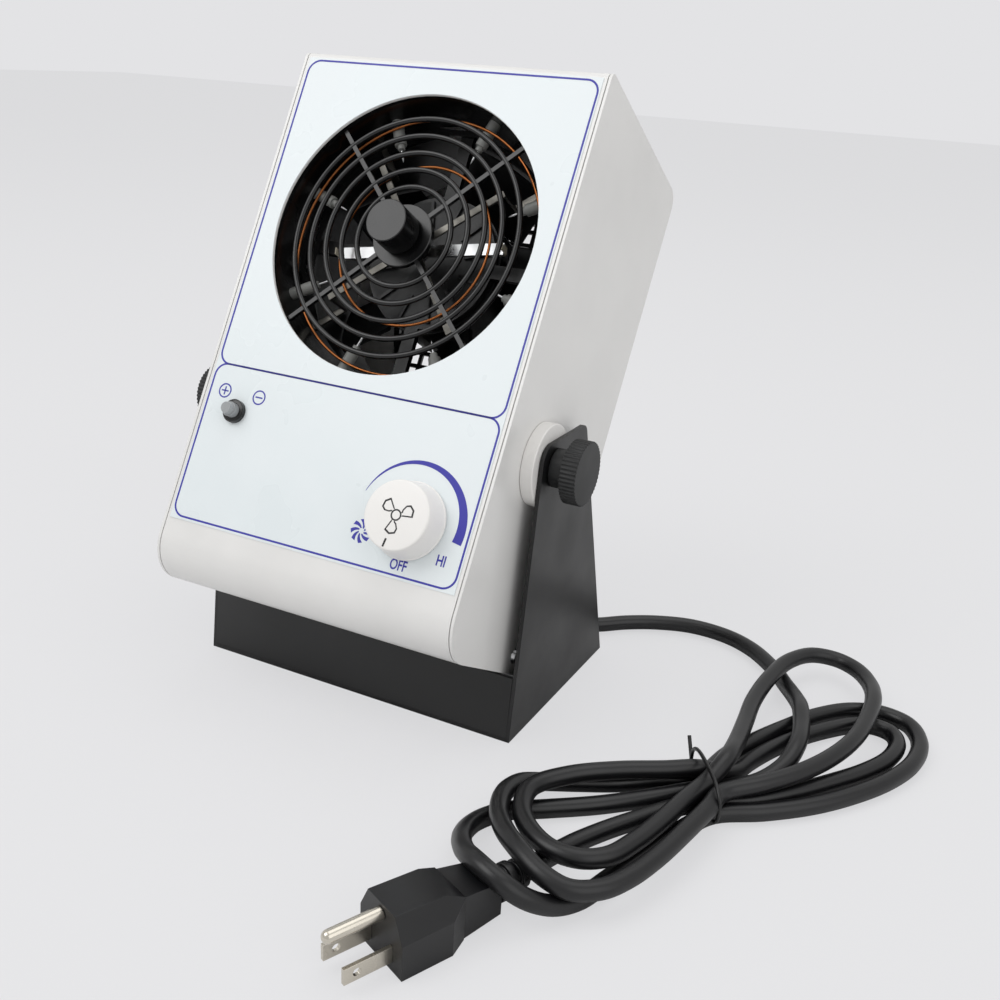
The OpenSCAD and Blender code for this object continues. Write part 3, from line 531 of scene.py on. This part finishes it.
FILM_THICK = 0.3 * MM
CLEAR = 0.01 * MM
SURFACE = on_panel(0, OPEN_UP, FILM_THICK + CLEAR)
FRAME_HALF, FRAME_TOP, FRAME_SHARED, FRAME_BOTTOM = 68.5 * MM, 71.5, -67.5, -135.6
CORNER_OUT, CORNER_IN = 5.9 * MM, 5.1 * MM
LINE = 0.8 * MM
frames = bmesh.new()
for low, high in ((FRAME_SHARED, FRAME_TOP), (FRAME_BOTTOM, FRAME_SHARED)):
    outer = round_rectangle(FRAME_HALF + LINE / 2, low * MM - LINE / 2, high * MM + LINE / 2,
                            CORNER_OUT)
    inner = round_rectangle(FRAME_HALF - LINE / 2, low * MM + LINE / 2, high * MM - LINE / 2,
                            CORNER_IN)
    band(frames, outer, inner)
printed("frame_lines", frames, SURFACE)

DIAL_AT = (42.5 * MM, -113.7 * MM)
arc = bmesh.new()
STEPS, ARC_RADIUS, ARC_BLUNT, ARC_TIP = 60, 24.3 * MM, -10.7, 162
turns = [math.radians(ARC_BLUNT + (ARC_TIP - ARC_BLUNT) * i / STEPS) for i in range(STEPS + 1)]
outer = [(DIAL_AT[0] + ARC_RADIUS * math.cos(a), DIAL_AT[1] + ARC_RADIUS * math.sin(a))
         for a in turns]
widths = [(4 * (1 - i / STEPS) + 0.15) * MM for i in range(STEPS + 1)]
inner = [(DIAL_AT[0] + (ARC_RADIUS - w) * math.cos(a), DIAL_AT[1] + (ARC_RADIUS - w) * math.sin(a))
         for a, w in zip(turns, widths)]
band(arc, outer, inner, closed=False)
printed("speed_arc", arc, SURFACE)


def words(name, text, x, y, size):
    curve = bpy.data.curves.new(name + "_text", "FONT")
    curve.body, curve.size, curve.align_x, curve.align_y = text, size, "CENTER", "CENTER"
    curve.extrude = INK_THICK / 2
    curve.offset = 0.11 * MM
    holder = bpy.data.objects.new(name + "_text", curve)
    bpy.context.scene.collection.objects.link(holder)
    bpy.context.view_layer.update()
    graph = bpy.context.evaluated_depsgraph_get()
    mesh = bpy.data.meshes.new_from_object(holder.evaluated_get(graph))
    edit = bmesh.new()
    edit.from_mesh(mesh)
    bpy.data.objects.remove(holder)
    bpy.data.meshes.remove(mesh)
    narrow = Matrix.Diagonal((0.72, 1.0, 1.0, 1.0))
    edit.transform(Matrix.Translation((x, y, INK_THICK / 2)) @ narrow)
    return printed(name, edit, SURFACE)


words("off_mark", "OFF", 42.9 * MM, -131.6 * MM, 6.0 * MM)
words("high_mark", "HI", 60.2 * MM, -125.8 * MM, 6.0 * MM)

BAR_LONG, BAR_THIN = 3.6 * MM, 0.6 * MM
signs = bmesh.new()
for x, upright_bar in ((-60.9, True), (-43.0, False)):
    centre = Vector((x * MM, -79.0 * MM, INK_THICK / 2))
    rims = [[(centre.x + r * math.cos(k * math.tau / 48), centre.y + r * math.sin(k * math.tau / 48))
             for k in range(48)] for r in (3.2 * MM, 2.6 * MM)]
    band(signs, *rims)
    bars = [(BAR_LONG, BAR_THIN)] + ([(BAR_THIN, BAR_LONG)] if upright_bar else [])
    for across_it, up_it in bars:
        bar = Matrix.Diagonal((across_it, up_it, INK_THICK, 1))
        bmesh.ops.create_cube(signs, size=1, matrix=Matrix.Translation(centre) @ bar)
printed("ion_signs", signs, SURFACE)

SWIRL_AT = (22.8 * MM, -122.2 * MM)
CURL = 0.16  # how far a blade turns for each millimetre outwards
swirl = bmesh.new()
for blade in range(8):
    turn = blade * math.tau / 8
    edges = []
    for lag, radii in ((0.0, (1.2, 2.2, 3.2, 4.2, 5.0)), (0.42, (1.2, 2.2, 3.2, 4.2, 4.7))):
        edges.append([(SWIRL_AT[0] + r * MM * math.cos(turn + lag + CURL * r),
                       SWIRL_AT[1] + r * MM * math.sin(turn + lag + CURL * r)) for r in radii])
    band(swirl, *edges, closed=False)
printed("airflow_icon", swirl, SURFACE)
print("marks printed")

# %% [markdown]
# ## Speed knob
# A moulded white knob, tapered so that it leaves its mould. It is one profile spun about the
# shaft, with a fine skirt and a soft edge. Its face carries a fan outline and a pointer in black,
# and both turn with it.

# %% Speed knob
KNOB_FACE = 12.5 * MM
KNOB_BASE = 0.5 * MM
dial_place = on_panel(DIAL_AT[0], OPEN_UP + DIAL_AT[1])
knob_profile = [(0, KNOB_BASE), (15.8 * MM, KNOB_BASE), (15.8 * MM, 1.9 * MM), (15.4 * MM, 2.1 * MM),
                (13.9 * MM, KNOB_FACE), (0, KNOB_FACE)]
knob = turned("speed_knob_turned", knob_profile, "speed_dial", dial_place,
              edge=0.9 * MM)
paint(knob, FINISHES["white_plastic"])
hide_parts("speed_knob")
PETAL = [(2.2, 0.25), (3.4, 0.62), (5.6, 0.66), (7.2, 0.5), (7.8, 0.16), (7.2, -0.2), (5.0, -0.22),
         (2.2, -0.3)]  # each corner's distance from the middle and its turn
OUTLINE = 0.25  # how far the inner line is drawn in towards the petal's middle
icon = bmesh.new()
for blade in range(3):
    turn = math.radians(135 - 120 * blade)
    side_a = [(r * MM * math.cos(turn + w), r * MM * math.sin(turn + w)) for r, w in PETAL]
    centre = (4.8 * MM * math.cos(turn + 0.2), 4.8 * MM * math.sin(turn + 0.2))
    side_b = [(x + (centre[0] - x) * OUTLINE, y + (centre[1] - y) * OUTLINE) for x, y in side_a]
    band(icon, side_a, side_b, closed=False)
hub = [[(r * MM * math.cos(k * math.tau / 40), r * MM * math.sin(k * math.tau / 40))
        for k in range(40)] for r in (2.3, 1.7)]
band(icon, *hub)
pointer = Matrix.Rotation(math.radians(262), 4, "Z")
pointer = pointer @ Matrix.Translation((11.3 * MM, 0, INK_THICK / 2))
pointer = pointer @ Matrix.Diagonal((3.4 * MM, 0.8 * MM, INK_THICK, 1))
bmesh.ops.create_cube(icon, size=1, matrix=pointer)
on_face = dial_place @ Matrix.Translation((0, 0, KNOB_FACE + 0.005 * MM))
printed("knob_marks", icon, on_face, "speed_dial", BLACK_INK)
print("speed knob at", [round(v, 4) for v in dial_place.translation])

# %% [markdown]
# ## Ion lamp
# A turned black bezel lies over the plain one of the construction model, round its lens.

# %% Ion lamp
lamp_place = on_panel(-52.5 * MM, OPEN_UP - 87 * MM)
BEZEL_IN, BEZEL_OUT, BEZEL_SEAT = 3.2 * MM, 5 * MM, 0.3 * MM
bezel_profile = [(BEZEL_IN, BEZEL_SEAT), (BEZEL_OUT, BEZEL_SEAT), (BEZEL_OUT, 2.2 * MM),
                 (BEZEL_IN, 2.6 * MM), (BEZEL_IN, BEZEL_SEAT)]
bezel = turned("lamp_bezel_turned", bezel_profile, "housing", lamp_place,
               edge=0.3 * MM, steps=64)
paint(bezel, FINISHES["black_gloss"])
print("lamp at", [round(v, 4) for v in lamp_place.translation])

# %% [markdown]
# ## Floor and light
# A pale sheet of studio paper, three broad square lamps and an even surround. Part of the paper's
# brightness is for the camera alone, so the background is pale and the object isn't overlit.

# %% Floor, world and lamps
floor_edit = bmesh.new()
FLOOR_HALF = 6
bmesh.ops.create_grid(floor_edit, x_segments=1, y_segments=1, size=FLOOR_HALF)
floor_mesh = bpy.data.meshes.new("floor")
floor_edit.to_mesh(floor_mesh)
floor_edit.free()
floor = bpy.data.objects.new("floor", floor_mesh)
bpy.context.scene.collection.objects.link(floor)
floor.location.z = -0.0003
floor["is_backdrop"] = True
paper, paper_tree, paper_shader = start_material("pale studio paper", "#dcdcdd", 0.8)
paint(floor, paper)
glow = add_node(paper_tree, "ShaderNodeEmission", {"Color": linear("#e6e6e8"), "Strength": 1.0})
seen = add_node(paper_tree, "ShaderNodeLightPath").outputs["Is Camera Ray"]
share = add_node(paper_tree, "ShaderNodeMath", {"operation": "MULTIPLY", 1: 0.75})
paper_tree.links.new(seen, share.inputs[0])
paper_mix = paper_tree.nodes.new("ShaderNodeMixShader")
paper_tree.links.new(share.outputs[0], paper_mix.inputs[0])
paper_tree.links.new(paper_shader.outputs[0], paper_mix.inputs[1])
paper_tree.links.new(glow.outputs[0], paper_mix.inputs[2])
paper_tree.links.new(paper_mix.outputs[0], paper_tree.nodes["Material Output"].inputs["Surface"])

world = bpy.data.worlds.new("studio")
bpy.context.scene.world = world
world.use_nodes = True
sky = world.node_tree
ambient = sky.nodes["Background"]
ambient.inputs["Color"].default_value = linear("#f0f0f0")
ambient.inputs["Strength"].default_value = 0.74
wall = sky.nodes.new("ShaderNodeBackground")
wall.inputs["Color"].default_value = linear("#e3e3e5")
either = sky.nodes.new("ShaderNodeMixShader")
rays = sky.nodes.new("ShaderNodeLightPath")
sky.links.new(rays.outputs["Is Camera Ray"], either.inputs[0])
sky.links.new(ambient.outputs[0], either.inputs[1])
sky.links.new(wall.outputs[0], either.inputs[2])
sky.links.new(either.outputs[0], sky.nodes["World Output"].inputs["Surface"])


def lamp(name, place, size, power):
    light = bpy.data.lights.new(name, "AREA")
    light.shape, light.size, light.energy = "SQUARE", size, power
    holder = bpy.data.objects.new(name, light)
    bpy.context.scene.collection.objects.link(holder)
    aim = Vector((0.05, 0, 0.1)) - Vector(place)
    turn = aim.to_track_quat("-Z", "Y").to_matrix().to_4x4()
    holder.matrix_world = Matrix.Translation(place) @ turn
    holder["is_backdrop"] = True


lamp("key", (-0.8, -0.9, 1.5), 1.2, 12)
lamp("fill", (1.4, -0.6, 1.0), 1.4, 5.5)
lamp("top", (0.2, 0.5, 1.8), 1.4, 6.5)
bpy.context.scene.view_settings.view_transform = "Standard"
print("stage ready")

# %% [markdown]
# ## Sizes
# The box of the finished looks is measured and printed.

low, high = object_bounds()
print("visual box", [round(v, 4) for v in low], [round(v, 4) for v in high])
